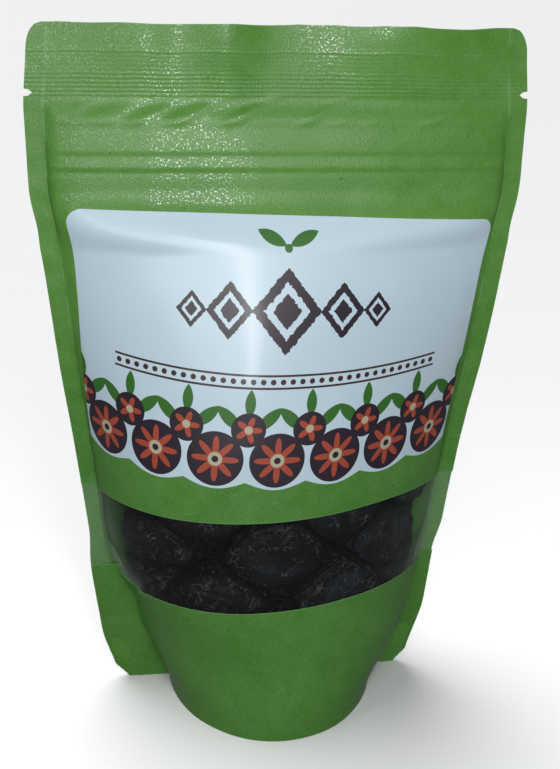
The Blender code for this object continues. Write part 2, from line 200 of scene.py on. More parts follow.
def noise_row(us, height, wide, tall, seed, slant=0.0):
    """Smooth noise over the flat sheet, from -1 to 1, with waves of about these sizes."""
    return np.array([noise.noise(Vector(((u + slant * height) / wide, height / tall, seed))) for u in us])


def ripple(us, height):
    """The waves that both walls share: the top edge's, and small ones along the side seals and ears."""
    push = sum(size * np.exp(-((us - middle) / width) ** 2) for middle, size, width in TOP_WAVES)
    reach, full = SEAL_WAVE_REACH
    near_edge = np.clip((np.abs(us) - FLAT_WIDTH / 2 + reach) / full, 0.0, 1.0)
    waves = sum(size * noise_row(us, height, *wave) for size, *wave in SEAL_WAVES)
    return push * smooth(TOP_RIPPLE, height) + SEAL_WAVE * near_edge * waves


def relief(us, depth, height, side):
    """How far a wall stands proud of its smooth shape: ribs, closure, slanting folds, figs behind it."""
    ribs = np.interp(height, *np.array(RIB_STRENGTH).T) * (1 - math.cos(math.tau * height / RIB_PITCH)) / 2
    proud = smooth(CLOSURE_RELIEF, height) + smooth(TOP_TILT, height)
    place, width, size = SLANT_ZONE
    folds = size * math.exp(-((height - place) / width) ** 2)
    inside = np.clip((FLAT_WIDTH / 2 - SIDE_SEAL - np.abs(us)) / SEAL_STEP_WIDTH, 0.0, 1.0)
    free = np.clip((depth - PRESS_START) / PRESS_FULL, 0.0, 1.0)
    lumps = [noise_row(us, height, wide, tall, side + seed) * size for size, wide, tall, seed in PRESS_NOISE]
    pressed = np.clip(sum(lumps, PRESS_LEVEL), 0.0, PRESS_MOST) / 2
    wide, tall, seed = SLANT_NOISE
    slanted = np.clip(noise_row(us, height, wide, tall, side + seed, slant=SLANT) * 2.0 + 0.1, 0.0, 1.0)
    wide, tall, seed = SWAY_NOISE
    sway = smooth(SWAY, height) * noise_row(us, height, wide, tall, side + seed)
    sealed_across = 1 - np.clip((height - TOP_SEAL_STEP[0]) / TOP_SEAL_STEP[1], 0, 1)
    tucks = 0.0
    for middle, place, wide, tall, slope, size in TUCKS:
        off = (us - middle - slope * (height - place)) / wide
        tucks = tucks + size * np.exp(-off ** 2 - ((height - place) / tall) ** 2)
    return (RIB_HEIGHT * ribs + (proud + folds * slanted + sway) * inside + FIG_PRESS * free * pressed
            + SEAL_STEP * inside * sealed_across + tucks * (side < 0))


def wall_row(us, height, side, offset):
    """Points of a level row of the front (side -1) or the back (side 1), offset out of the wall."""
    here = base_row(us, height)
    before, after = base_row(us - MITRE_REACH, height), base_row(us + MITRE_REACH, height)
    turned = []
    for start, end in ((before, here), (here, after)):
        step = end - start
        turned.append(np.stack((-step[:, 1], step[:, 0]), axis=1) / np.hypot(*step.T)[:, None])
    before, after = turned
    free = np.clip(here[:, 1] / LIFT_DEPTH, 0.0, 1.0)
    lift = np.interp(height, *SEAL_LIFT) * (1 - free) + np.interp(height, *BELLY_LIFT) * free
    lift = lift + offset + relief(us, here[:, 1], height, side)
    x, depth = (here + lift[:, None] * (before + after) / (1 + (before * after).sum(axis=1))[:, None]).T
    if side > 0:
        depth = depth + BACK_EXTRA * smooth(BELLY_DEPTH, height) / BELLY_DEPTH[0][1]
    y = side * depth + smooth(LEAN, height) - ripple(us, height)
    size, *wave = TOP_WAVER
    waver = size * smooth(TOP_RIPPLE, height) * abs(noise_row(us, height, *wave))
    return np.stack((x, y, height - waver), axis=1)


def column_positions(height):
    """Flat distances of a row's points: across both seals, and evenly over the belly between them."""
    along = section(height)[0]
    outer = FLAT_WIDTH / 2 - edge_inset(height)
    left = np.linspace(-outer, along[0], SEAL_COLUMNS + 1)[:-1]
    right = np.linspace(along[-1], outer, SEAL_COLUMNS + 1)[1:]
    return np.concatenate((left, np.linspace(along[0], along[-1], BELLY_COLUMNS + 1), right))


def row_heights(low, high):
    """Heights of a sheet's rows: closer where there is relief, with one at each edge of the notch."""
    notch = [NOTCH_HEIGHT + side * (NOTCH_WIDTH / 2 + past) for side in (-1, 1) for past in (0.0, NOTCH_STEP)]
    heights = [low, high, NOTCH_HEIGHT, *notch]
    for start, end, step in ROW_ZONES:
        heights.extend(np.linspace(start, end, round((end - start) / step) + 1))
    kept = [height for height in sorted(heights) if low <= height <= high]
    return [height for height, below in zip(kept, [-1.0] + kept) if height - below > LEAST_ROW]


def lay_sheet(name, rows, flats, thickness):
    """A grid primitive laid on rows of points, with its flat coordinates as UV map, and made solid."""
    rows, flats = np.array(rows), np.array(flats)
    tall, wide = rows.shape[0] - 1, rows.shape[1] - 1
    bpy.ops.object.select_all(action="DESELECT")
    bpy.ops.mesh.primitive_grid_add(x_subdivisions=wide, y_subdivisions=tall, size=2.0, calc_uvs=False)
    piece = bpy.context.object
    piece.name = name
    mesh = piece.data
    corners = np.empty(len(mesh.vertices) * 3, np.float32)
    mesh.vertices.foreach_get("co", corners)
    corners = corners.reshape(-1, 3)
    column = np.rint((corners[:, 0] + 1) / 2 * wide).astype(int)
    row = np.rint((corners[:, 1] + 1) / 2 * tall).astype(int)
    mesh.vertices.foreach_set("co", (rows[row, column] * MM).ravel())
    loops = np.empty(len(mesh.loops), np.int32)
    mesh.loops.foreach_get("vertex_index", loops)
    flat = mesh.uv_layers.new(name="flat")
    flat.uv.foreach_set("vector", (flats[row, column][loops] * MM).ravel())
    mesh.update()
    solid = piece.modifiers.new("thickness", "SOLIDIFY")
    solid.thickness = thickness * MM
    solid.offset = 0.0
    bpy.ops.object.modifier_apply(modifier=solid.name)
    bpy.ops.object.shade_smooth_by_angle(angle=EDGE_ANGLE)
    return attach(piece, "root")


def lay_panel(name, low, high, side, offset, thickness):
    """A full-width sheet of the front or the back, between two heights."""
    heights = row_heights(low, high)
    columns = [column_positions(height) for height in heights]
    rows = [wall_row(us, height, side, offset) for us, height in zip(columns, heights)]
    flats = [np.stack((us, np.full(len(us), height)), axis=1) for us, height in zip(columns, heights)]
    return lay_sheet(name, rows, flats, thickness)


class Wire:
    """An output of a material's nodes, so that shader maths is written as plain expressions."""

    def __init__(self, tree, socket=None):
        self.tree = tree
        self.socket = socket

    def node(self, kind, settings=None, inputs=None, output=0):
        """Adds a node, its settings first and then its sockets, and returns one of its outputs."""
        made = self.tree.nodes.new("ShaderNode" + kind)
        for name, value in (settings or {}).items():
            setattr(made, name, value)
        for name, value in (inputs or {}).items():
            if isinstance(value, Wire):
                self.tree.links.new(value.socket, made.inputs[name])
            else:
                made.inputs[name].default_value = value
        return Wire(self.tree, made.outputs[output])

    def math(self, operation, *values):
        """A Math node on these values."""
        return self.node("Math", {"operation": operation}, dict(enumerate(values)))

    def __add__(self, other):
        return self.math("ADD", self, other)

    def __radd__(self, other):
        return self.math("ADD", other, self)

    def __sub__(self, other):
        return self.math("SUBTRACT", self, other)

    def __rsub__(self, other):
        return self.math("SUBTRACT", other, self)

    def __mul__(self, other):
        return self.math("MULTIPLY", self, other)

    def __rmul__(self, other):
        return self.math("MULTIPLY", other, self)

    def __truediv__(self, other):
        return self.math("DIVIDE", self, other)

    def __pow__(self, other):
        return self.math("POWER", self, other)

    def __lt__(self, other):
        return self.math("LESS_THAN", self, other)

    def __abs__(self):
        return self.math("ABSOLUTE", self)

    def ramp(self, low, high):
        """0 up to low, 1 from high on, and a smooth step between."""
        return self.node("MapRange", {"interpolation_type": "SMOOTHSTEP"},
                         {"Value": self, "From Min": low, "From Max": high})

    def at_most(self, limit):
        """This value, held to a limit."""
        return self.math("MINIMUM", self, limit)

    def repeated(self, half):
        """This distance, repeated so that it runs from -half to half."""
        return self.math("WRAP", self, half, -half)

    def bell(self, middle, width):
        """1 at middle, falling to 0 a width away on both sides."""
        return abs(self - middle).ramp(width, 0.0)

    def mix(self, share, low, high):
        """A colour that goes from low to high as share goes from 0 to 1."""
        return self.node("Mix", {"data_type": "RGBA"}, {0: share, 6: low, 7: high}, 2)

    def noise(self, where, size, detail=2.0, stretch=(1, 1, 1), turn=0.0):
        """Noise with lumps of about size mm over a vector in metres."""
        place = self.node("Mapping", {"vector_type": "TEXTURE"},
                          {"Vector": where, "Rotation": (0, 0, turn), "Scale": stretch})
        return self.node("TexNoise", {}, {"Vector": place, "Scale": 1 / (size * MM), "Detail": detail})


def new_finish(name, constants):
    """A material with these constants on its shader's own sockets: it, its shader, and a first Wire."""
    material = bpy.data.materials.new(name)
    material.use_nodes = True
    shader = material.node_tree.nodes["Principled BSDF"]
    for socket, value in constants.items():
        shader.inputs[socket].default_value = value
    return material, shader, Wire(material.node_tree)


def connect(shader, **wires):
    """Links wires to a shader's sockets, named with _ for a space."""
    for name, wire in wires.items():
        wire.tree.links.new(wire.socket, shader.inputs[name.replace("_", " ")])


def paint(piece, material, slot, *nodes):
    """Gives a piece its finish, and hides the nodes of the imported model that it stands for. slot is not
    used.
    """
    piece.data.materials.clear()
    piece.data.materials.append(material)
    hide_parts(*nodes)


def flat_place(wire):
    """A sheet's flat coordinates: the vector in metres, and its two parts in mm."""
    where = wire.node("UVMap", {"uv_map": "flat"})
    parts = [wire.node("SeparateXYZ", {}, {0: where}, k) / MM for k in (0, 1)]
    return where, parts[0], parts[1]


FILM_TINT = (0.86, 0.92, 0.95, 1)
SEAL_HAZE = 0.018

film_finish, shader, wire = new_finish("clear glossy film", {"Base Color": FILM_TINT})
where, across, up = flat_place(wire)
facing = wire.node("LayerWeight", {}, {"Blend": 0.5}, "Facing")
smudges = wire.noise(where, 14.0, 3.0).ramp(0.45, 0.75)
sealed = abs(across).ramp(FLAT_WIDTH / 2 - SIDE_SEAL - 2.0, FLAT_WIDTH / 2 - SIDE_SEAL)
haze = 0.002 + 0.004 * smudges + SEAL_HAZE * sealed
connect(shader, Alpha=haze + 0.02 + 0.6 * facing ** 5.0, Roughness=0.07 + 0.1 * smudges,
        Metallic=(1.0 - 0.6 * facing.ramp(0.2, 0.8)) * (1.0 - sealed),
        Normal=wire.node("Bump", {}, {"Strength": 0.35, "Distance": 0.4 * MM,
                                      "Height": wire.noise(where, 6.0, 3.0, (1, 2.5, 1), 0.5)}))
film = lay_panel("clear_film", EDGE_LIFT, HEIGHT, -1, FILM / 2, FILM)
paint(film, film_finish, "clear_film", "front_film")

# Upper front paper: green kraft-look paper with a satin varnish, laminated on the film from the top of
# the window up. The heat seal's ribs and the closure are pressed into it, and its edge at the window is
# cut through, so it shows as a thin pale line.
PAPER = 0.16
WINDOW_HIGH = 80.0
WINDOW_LOW = 48.0
# The low and high greens are painted shade and painted light: the paper is darker low down and lighter,
# yellower high up
SHADED_LOW_GREEN = (0.064, 0.225, 0.03, 1)
LIT_HIGH_GREEN = (0.106, 0.295, 0.042, 1)
DEEP_GREEN = (0.06, 0.2, 0.02, 1)
PALE_GREEN = (0.16, 0.36, 0.09, 1)
WORN_GREEN = (0.3, 0.5, 0.26, 1)
SPECK_GREEN = (0.02, 0.05, 0.012, 1)
PUNCH_GREEN = (0.12, 0.33, 0.04, 1)
PUNCH_PLACE = (4.2, 12.0)
PUNCH_SIZE = (2.9, 5.2)
FIBRES = ((0.5, 0.55), (-0.9, 0.6), (1.4, 0.5))
DOT_PITCH = 1.15
DOT_BANDS = ((216.6, 4.4), (227.0, 2.0))
BEAD = 0.48
GLINT = 0.7
BARE_COAT = 0.03
CUT_WIDTH = 0.35
EDGE_WIDTH = 0.5
CREASE_WIDTH = 0.7
PAINTED_LIGHT_FROM = (60.0, 190.0)
PAPER_BUMP = 0.065


def follow(up, stations):
    """The value of a row of (height, value) stations at a height."""
    value = stations[0][1]
    for (low, before), (high, after) in zip(stations, stations[1:]):
        if after != before:
            value = up.ramp(low, high) * (after - before) + value
    return value


def green_paper(name, cuts):
    """Satin green paper: fibres, mottling, sparkling dots, pale where it is cut, creased or scuffed, and
    painted light that makes it lighter and yellower towards the top.

    The round spot on each ear is where the gusset is punched and the front is sealed to the back.
    """
    finish, shader, wire = new_finish(name, {"Specular IOR Level": 0.38, "Coat Roughness": 0.15})
    where, across, up = flat_place(wire)
    fibre = sum(wire.noise(where, size, 2.0, (9, 1, 1), turn) for turn, size in FIBRES) / len(FIBRES)
    mottle = wire.noise(where, 7.0, 4.0)
    cloud = wire.noise(where, 40.0, 3.0)
    grain = wire.noise(where, 0.5, 2.0)
    beads = wire.node("TexVoronoi", {}, {"Vector": where, "Scale": 1 / (BEAD * MM)}, "Distance")
    glints = wire.noise(where, GLINT, 1.0).ramp(0.56, 0.66) * wire.noise(where, 8.0, 2.0).ramp(0.3, 0.5)
    specks = wire.noise(where, 2.2, 1.0).ramp(0.79, 0.81)
    rib_rows = 0.5 - 0.5 * wire.math("COSINE", up * (math.tau / RIB_PITCH))
    dots = (0.5 + 0.5 * wire.math("COSINE", across * (math.tau / DOT_PITCH))) * rib_rows
    pressed_hard = wire.noise(where, 3.0, 2.0).ramp(0.4, 0.65)
    dots = dots * (up.bell(*DOT_BANDS[0]) + 0.8 * up.bell(*DOT_BANDS[1])) * pressed_hard
    shade = 0.5 + (fibre - 0.5) * 2.4 + (mottle - 0.5) * 0.9 + (cloud - 0.5) * 1.2 + (grain - 0.5) * 1.5
    # Painted light: lighter and yellower from 60 mm up to 190 mm, with random cloudy tone on top of it
    painted_top_light_and_cloud = up.ramp(*PAINTED_LIGHT_FROM) + (cloud - 0.5) * 0.8
    colour = wire.mix(0.55, wire.mix(shade, DEEP_GREEN, PALE_GREEN), wire.mix(painted_top_light_and_cloud, SHADED_LOW_GREEN, LIT_HIGH_GREEN))
    cut = abs(across).ramp(FLAT_WIDTH / 2 - EDGE_WIDTH, FLAT_WIDTH / 2) * 0.25
    for height in cuts:
        cut = cut + up.bell(height, CUT_WIDTH)
    scuffs = wire.noise(where, 1.1, 3.0, (14, 1, 1), 0.25).ramp(0.66, 0.73)
    scuffs = scuffs * wire.noise(where, 22.0).ramp(0.48, 0.6)
    left_crease = (across + FLAT_WIDTH / 2 - follow(up, EAR_LEFT)).bell(0.0, CREASE_WIDTH)
    right_crease = (FLAT_WIDTH / 2 - across - follow(up, EAR_RIGHT)).bell(0.0, CREASE_WIDTH)
    rubbed = (left_crease + right_crease) * wire.noise(where, 7.0, 3.0).ramp(0.4, 0.6)
    colour = wire.mix(cut * 0.4 + dots * 0.3 + scuffs * 0.35 + rubbed * 0.3, colour, WORN_GREEN)
    off_edge = (FLAT_WIDTH / 2 - PUNCH_PLACE[0] - abs(across)) * (1 / PUNCH_SIZE[0])
    off_height = (up - PUNCH_PLACE[1]) * (1 / PUNCH_SIZE[1])
    punched = (off_edge ** 2.0 + off_height ** 2.0).ramp(1.15, 0.8)
    colour = wire.mix(punched * 0.45, colour, PUNCH_GREEN)
    colour = wire.mix(specks * 0.8, colour, SPECK_GREEN)
    height = fibre * 0.5 + dots * 0.9 - beads * 0.8
    connect(shader, Base_Color=colour, Roughness=0.38 + 0.2 * (mottle - 0.5) + 0.12 * (fibre - 0.5),
            Coat_Weight=BARE_COAT + (1 - BARE_COAT) * glints,
            Normal=wire.node("Bump", {}, {"Strength": 1.0, "Distance": PAPER_BUMP * MM, "Height": height}))
    return finish


paper_offset = FILM + BOND + PAPER / 2
front_cuts = (WINDOW_LOW, WINDOW_HIGH, HEIGHT)
front_green = green_paper("green kraft-look paper", front_cuts)
upper_paper = lay_panel("upper_front_paper", WINDOW_HIGH, HEIGHT, -1, paper_offset, PAPER)
paint(upper_paper, front_green, "green_paper", "front_paper_upper")

# Lower front paper: the same satin green paper below the window, down to the cut bottom edge. It covers
# the lower belly and both ears, where it is sealed through the gusset's legs to the back.
lower_paper = lay_panel("lower_front_paper", EDGE_LIFT, WINDOW_LOW, -1, paper_offset, PAPER)
paint(lower_paper, front_green, "green_paper", "front_paper_lower")

# Back panel: one plain sheet of the same laminate with no window, sealed to the film at the top, down
# both sides and round the gusset.
back = lay_panel("back_panel_sheet", EDGE_LIFT, HEIGHT, 1, PAPER / 2, PAPER)
paint(back, green_paper("green back paper", (EDGE_LIFT, HEIGHT)), "green_back", "back_panel")

# Bottom gusset: one folded sheet of the laminate. Its legs are sealed to the inside of the front and the
# back along a U, low in the middle and up to the full leg at the sides, and between them it opens into
# the floor of the pouch.
GUSSET = 0.12
LEG_OFFSET = -0.1
BOTTOM_SEAL = 6.0
FLOOR_SAG = 0.35
FLOOR_DRAW_IN = 0.2
FOLD_RADIUS = 0.5
FLOOR_ROWS = 40
LEG_ROWS = 30
GUSSET_TOP = 47.6
SEAL_CURVE = 2.5


def seal_heights(columns):
    """Height that the gusset is sealed to at each column: low in the middle, its full leg at the sides."""
    t = np.clip((np.arange(columns) - SEAL_COLUMNS) / BELLY_COLUMNS, 0.0, 1.0)
    return BOTTOM_SEAL + (GUSSET_TOP - BOTTOM_SEAL) * np.abs(2 * t - 1) ** SEAL_CURVE


def leg_points(heights, side):
    """The point of one leg at each column's own height, and the flat distance that it lies at."""
    points, us = [], []
    for column, height in enumerate(heights):
        u = column_positions(height)[column]
        points.append(wall_row(np.array([u]), height, side, LEG_OFFSET)[0])
        us.append(u)
    return np.array(points), np.array(us)


sealed_to = seal_heights(BELLY_COLUMNS + 2 * SEAL_COLUMNS + 1)
rows, flats = [], []
for side, order in ((-1, range(LEG_ROWS)), (1, range(LEG_ROWS - 1, -1, -1))):
    if side > 0:
        front, us = leg_points(sealed_to, -1)
        behind = leg_points(sealed_to, 1)[0]
        half = (behind[:, 1] - front[:, 1]) / 2
        slack = np.sqrt(np.maximum((GUSSET_LEG - sealed_to) ** 2 - half ** 2, 0.0))
        dip = np.minimum(slack, FLOOR_SAG * half)
        for place in np.linspace(-1, 1, FLOOR_ROWS + 1):
            x = front[:, 0] - FLOOR_DRAW_IN * half * (1 - place ** 2) * 2 * front[:, 0] / FLAT_WIDTH
            arch = np.minimum(FOLD_RADIUS, half) * math.sqrt(1 - place ** 2)
            z = np.maximum(sealed_to + arch - dip * (1 - place ** 2), GUSSET / 2)
            rows.append(np.stack((x, front[:, 1] + half * (place + 1), z), axis=1))
            flats.append(np.stack((us, sealed_to + (GUSSET_LEG - sealed_to) * (place + 1)), axis=1))
    for step in order:
        heights = EDGE_LIFT + (sealed_to - EDGE_LIFT) * step / LEG_ROWS
        points, us = leg_points(heights, side)
        rows.append(points)
        flats.append(np.stack((us, heights if side < 0 else 2 * GUSSET_LEG - heights), axis=1))
gusset = lay_sheet("bottom_gusset_sheet", rows, flats, GUSSET)
paint(gusset, green_paper("green gusset paper", (EDGE_LIFT, 2 * GUSSET_LEG)), "green_back", "bottom_gusset")

# Label: a white glossy pressure-sensitive label, cut with round top corners and a scalloped lower edge,
# and stuck on the upper paper by hand, so it is a little crooked. The print on it is plain ornament.
LABEL = 0.1
LABEL_SIZE = (140.0, 86.0)
LABEL_CENTRE = (0.5, 134.3)
LABEL_TILT = math.radians(-1.9)
LABEL_CORNER = 5.0
LABEL_SCALLOPS = 7
LABEL_SCALLOP_DEPTH = 2.5
LABEL_EDGE_BOW = 4.5
LABEL_ROWS = 90
CORNER_COLUMNS = 8
HALF_LOBE = LABEL_SIZE[0] / LABEL_SCALLOPS / 2
LABEL_BUMP = 0.06

# The print's places and sizes, from the label's middle, or for the flowers and leaves from its lower edge
LOZENGES = ((0.0, 11.5, 13.5), (18.6, 7.6, 9.0), (30.8, 4.9, 5.8))
LOZENGE_HEIGHT = 14.5
LOZENGE_RINGS = (1.0, 0.66, 0.42)
BAND_DROP = 7.5
BAND_BOW = 3.2
BAND_HALF = 56.0
RULE_OFF = 2.0
RULE_WIDTH = 0.35
HALF_DOT_PITCH = 1.6
PRINTED_DOT = 0.9
SPRIG_LEAF = ((5.2, 36.5), 0.45, 5.2, 1.9)
SPRIG_BUD = (33.5, 1.3)
SIDE_LEAF = ((6.4, 23.5), 0.75, 5.6, 2.0)
TALL_LEAF = ((0.0, 28.5), math.pi / 2, 4.6, 1.7)
LARGE_HEIGHT = 9.9
LARGE_PETALS = (8.0, 7.6)
LARGE_DISCS = (9.1, 2.3, 1.1)
SMALL_HEIGHT = 20.0
SMALL_PETALS = (5.0, 4.4)
SMALL_DISCS = (5.6, 1.3)
WHITE = (0.6, 0.755, 0.85, 1)
SHADED_WHITE = (0.58, 0.735, 0.83, 1)
INK_PURPLE = (0.022, 0.012, 0.024, 1)
INK_BROWN = (0.05, 0.022, 0.016, 1)
INK_CORAL = (0.42, 0.07, 0.035, 1)
INK_CREAM = (0.5, 0.47, 0.33, 1)
INK_LEAF = (0.035, 0.16, 0.018, 1)

wide, tall = LABEL_SIZE
inner = wide / 2 - LABEL_CORNER
corner = inner + LABEL_CORNER * np.sin(np.linspace(0, math.pi / 2, CORNER_COLUMNS + 1)[1:])
us = np.concatenate((-corner[::-1], np.linspace(-inner, inner, round(2 * inner) + 1), corner))
top = tall / 2 - LABEL_CORNER + np.sqrt(LABEL_CORNER ** 2 - np.maximum(np.abs(us) - inner, 0.0) ** 2)
notch = 1 - np.abs(np.sin(math.pi * LABEL_SCALLOPS * (us / wide + 0.5)))
bottom = -tall / 2 + LABEL_EDGE_BOW * (2 * us / wide) ** 2 + LABEL_SCALLOP_DEPTH * notch
label_offset = FILM + 2 * BOND + PAPER + LABEL / 2
rows, flats = [], []
for step in range(LABEL_ROWS + 1):
    vs = bottom + (top - bottom) * step / LABEL_ROWS
    turned = LABEL_CENTRE[0] + us * math.cos(LABEL_TILT) - vs * math.sin(LABEL_TILT)
    heights = LABEL_CENTRE[1] + us * math.sin(LABEL_TILT) + vs * math.cos(LABEL_TILT)
    heights = np.round(heights, 2)
    rows.append([wall_row(np.array([u]), height, -1, label_offset)[0] for u, height in zip(turned, heights)])
    flats.append(np.stack((us, vs), axis=1))
label = lay_sheet("white_label", rows, flats, LABEL)


def leaf(across, up, place, turn, length, width):
    """1 inside a leaf of pointed-oval outline that lies at a place, turned, and 0 outside."""
    a = across - place[0]
    b = up - place[1]
    along = a * math.cos(turn) + b * math.sin(turn)
    beside = b * math.cos(turn) - a * math.sin(turn)
    radius = (length ** 2 + width ** 2) / (2 * width)
    return ((along * along + (abs(beside) + radius - width) ** 2.0) ** 0.5) < radius


def rosette(across, up, petals, size):
    """1 inside a flower outline of round petals."""
    reach = (across * across + up * up) ** 0.5
    angle = up.math("ARCTAN2", up, across)
    return reach < size * (0.68 + 0.32 * angle.math("COSINE", angle * petals))


def ring(across, up, size):
    """1 inside a disc."""
    return (across * across + up * up) < size ** 2


finish, shader, wire = new_finish("white label with printed ornament", {"Coat Roughness": 0.17})
where, across, up = flat_place(wire)
fold = abs(across)
rough_edge = (wire.noise(where, 1.3, 3.0) - 0.5) * 0.22
diamonds = 0.0
for place, half_wide, half_tall in LOZENGES:
    reach = abs(fold - place) / half_wide + abs(up - LOZENGE_HEIGHT) / half_tall + rough_edge
    outer, gap, core = [reach < size for size in LOZENGE_RINGS]
    diamonds = diamonds + outer * (1.0 - gap + core)
arc = up + BAND_DROP - BAND_BOW * (across / BAND_HALF) ** 2.0
rules = abs(abs(arc) - RULE_OFF) < RULE_WIDTH
dots = ring(across.repeated(HALF_DOT_PITCH), arc, PRINTED_DOT)
sprig = leaf(fold, up, *SPRIG_LEAF) + ring(across, up - SPRIG_BUD[0], SPRIG_BUD[1])
above_edge = up + tall / 2 - LABEL_EDGE_BOW * (across / (wide / 2)) ** 2.0
lobe = across.repeated(HALF_LOBE)
between = (across + HALF_LOBE).repeated(HALF_LOBE)
large = above_edge - LARGE_HEIGHT
small = above_edge - SMALL_HEIGHT
leaves = leaf(abs(between), above_edge, *SIDE_LEAF) + leaf(abs(between), above_edge, *TALL_LEAF)
print_layers = [
    (diamonds, INK_PURPLE),
    ((rules + dots) * (fold < BAND_HALF), INK_BROWN),
    (sprig, INK_LEAF),
    (leaves, INK_LEAF),
    (ring(lobe, large, LARGE_DISCS[0]) + ring(between, small, SMALL_DISCS[0]), INK_PURPLE),
    (rosette(lobe, large, *LARGE_PETALS), INK_CORAL),
    (rosette(between, small, *SMALL_PETALS), INK_CORAL),
    (ring(lobe, large, LARGE_DISCS[1]) + ring(between, small, SMALL_DISCS[1]), INK_CREAM),
    (ring(lobe, large, LARGE_DISCS[2]), INK_PURPLE),
]
colour = wire.mix(wire.noise(where, 30.0, 2.0).ramp(0.2, 0.8), SHADED_WHITE, WHITE)
printed = 0.0
for mask, ink in print_layers:
    mask = mask.at_most(1.0)
    colour = wire.mix(mask, colour, ink)
    printed = printed + mask
grain = wire.noise(where, 0.5, 2.0)
connect(shader, Base_Color=colour, Roughness=0.42 + 0.06 * printed.at_most(1.0),
        Coat_Weight=0.3 + 0.25 * (grain - 0.5),
        Normal=wire.node("Bump", {}, {"Strength": 0.25, "Distance": LABEL_BUMP * MM, "Height": grain}))
paint(label, finish, "white_label", "label")

# Press-to-close strip: two extruded halves of translucent polyethylene, a rib on the back and a pair of
# lips on the front, welded to the inside of the walls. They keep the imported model's own shape.
ZIP_IOR = 1.5
ZIP_DULL = (0.66, 0.72, 0.74, 1)
ZIP_CLEAR = (0.82, 0.86, 0.87, 1)

finish, shader, wire = new_finish("translucent zip plastic", {"IOR": ZIP_IOR})
where = wire.node("TexCoord", {}, {}, "Object")
draw_lines = wire.noise(where, 0.6, 2.0, (60, 1, 1))
connect(shader, Base_Color=wire.mix(draw_lines, ZIP_DULL, ZIP_CLEAR),
        Roughness=0.22 + 0.15 * draw_lines, Alpha=0.5 + 0.2 * draw_lines,
        Normal=wire.node("Bump", {}, {"Strength": 0.3, "Distance": 0.05 * MM, "Height": draw_lines}))
for node in ("zip_rib_back", "zip_lips_front"):
    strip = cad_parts[node]
    strip.data.materials.clear()
    strip.data.materials.append(finish)

# Dried figs: whole small black figs, wrinkled lengthwise from the stem, pressed against each other and
# against the film. Each keeps its packed place and outline, and gets its folds, stem and eye here.
FIG_LEVELS = 3
FIG_CLEAR = 0.3
SIDE_CLEAR = 2.4
FIG_GROWTH = 3.2
FIG_TOUCH = 14.0
FIG_SPACING = 0.2
FIG_SOFTNESS = 1.1
FIG_TOP = 110
FIG_NEAR = 50.0
FOLD_SIZES = ((5.2, 13.0, 1.9), (2.4, 5.5, 1.0), (1.2, 2.2, 0.35))
FOLD_NARROW = 3.2
FOLD_CURVE = 1.5
FOLD_DEPTH = 0.75
FOLD_STEP = (17.3, -9.1, 5.7)
END_SIZE = 3.0
STEM_RISE = 1.2
EYE_DIP = 0.8
TOUCH_FADE = 1.5
WELD = 0.02
WALL_ANGLES = 181
SKIN_BUMP = 0.9
FIG_BLACK = (0.0007, 0.0012, 0.0018, 1)
FIG_BROWN = (0.013, 0.0062, 0.005, 1)
# Bluish grey of a painted reflection of the film on the figs
FIG_PAINTED_REFLECTION = (0.013, 0.0195, 0.026, 1)
FIG_STEM = (0.075, 0.026, 0.013, 1)
FLECK = (0.12, 0.12, 0.115, 1)

angles = np.linspace(0, math.pi, WALL_ANGLES)
reaches = []
for height in range(FIG_TOP + 1):
    _, x, depth = section(float(height))
    x = (x - smooth(SIDE_SHIFT, height))[::-1]
    depth = depth[::-1] + np.interp(height, *BELLY_LIFT)
    reaches.append(np.interp(angles, np.arctan2(depth, x), np.hypot(x, depth)))
reaches = np.array(reaches)


def wall_reach(angle, height):
    """Distance from the middle of the pouch to the inside of its wall, in a direction of a level section."""
    row = min(max(height, 0.0), FIG_TOP - 0.001)
    column = angle / math.pi * (len(angles) - 1.001)
    i, k = int(row), int(column)
    low = reaches[i, k] + (reaches[i, k + 1] - reaches[i, k]) * (column - k)
    high = reaches[i + 1, k] + (reaches[i + 1, k + 1] - reaches[i + 1, k]) * (column - k)
    return low + (high - low) * (row - i)


def fig_fold(place, axis):
    """Depth of the wrinkles at a place on a fig: long creases that run from the stem to the eye."""
    along = place.dot(axis)
    beside = place - axis * along
    depth = 0.0
    for size, length, deep in FOLD_SIZES:
        spot = beside / size + axis * (along / length)
        ridge = min(abs(noise.noise(spot + axis * size)) * FOLD_NARROW, 1.0)
        depth += deep * (1 - ridge) ** FOLD_CURVE
    return depth


def press_in(place, middle, neighbours):
    """Holds a place on a fig back from the planes midway to its neighbours, with round edges."""
    for way in neighbours:
        distance = way.length
        past = (place - middle).dot(way) / distance - (distance - FIG_SPACING) / 2
        if past > -4 * FIG_SOFTNESS:
            place = place - way * (FIG_SOFTNESS * math.log1p(math.exp(past / FIG_SOFTNESS)) / distance)
    return place


def press_out(place, reach):
    """Moves a place on a fig towards the wall where it is near it, and back in where it is past it."""
    middle = Vector((smooth(SIDE_SHIFT, place.z), smooth(LEAN, place.z), place.z))
    out = place - middle
    distance = max(out.length, 0.001)
    clear = FIG_CLEAR + SIDE_CLEAR * abs(out.x / distance) ** 8
    room = wall_reach(math.atan2(abs(out.y), out.x), place.z) - distance - clear
    if room < reach:
        place = middle + out * (1 + room * (1 - max(room / reach, 0.0) ** 2) / distance)
    return place, room


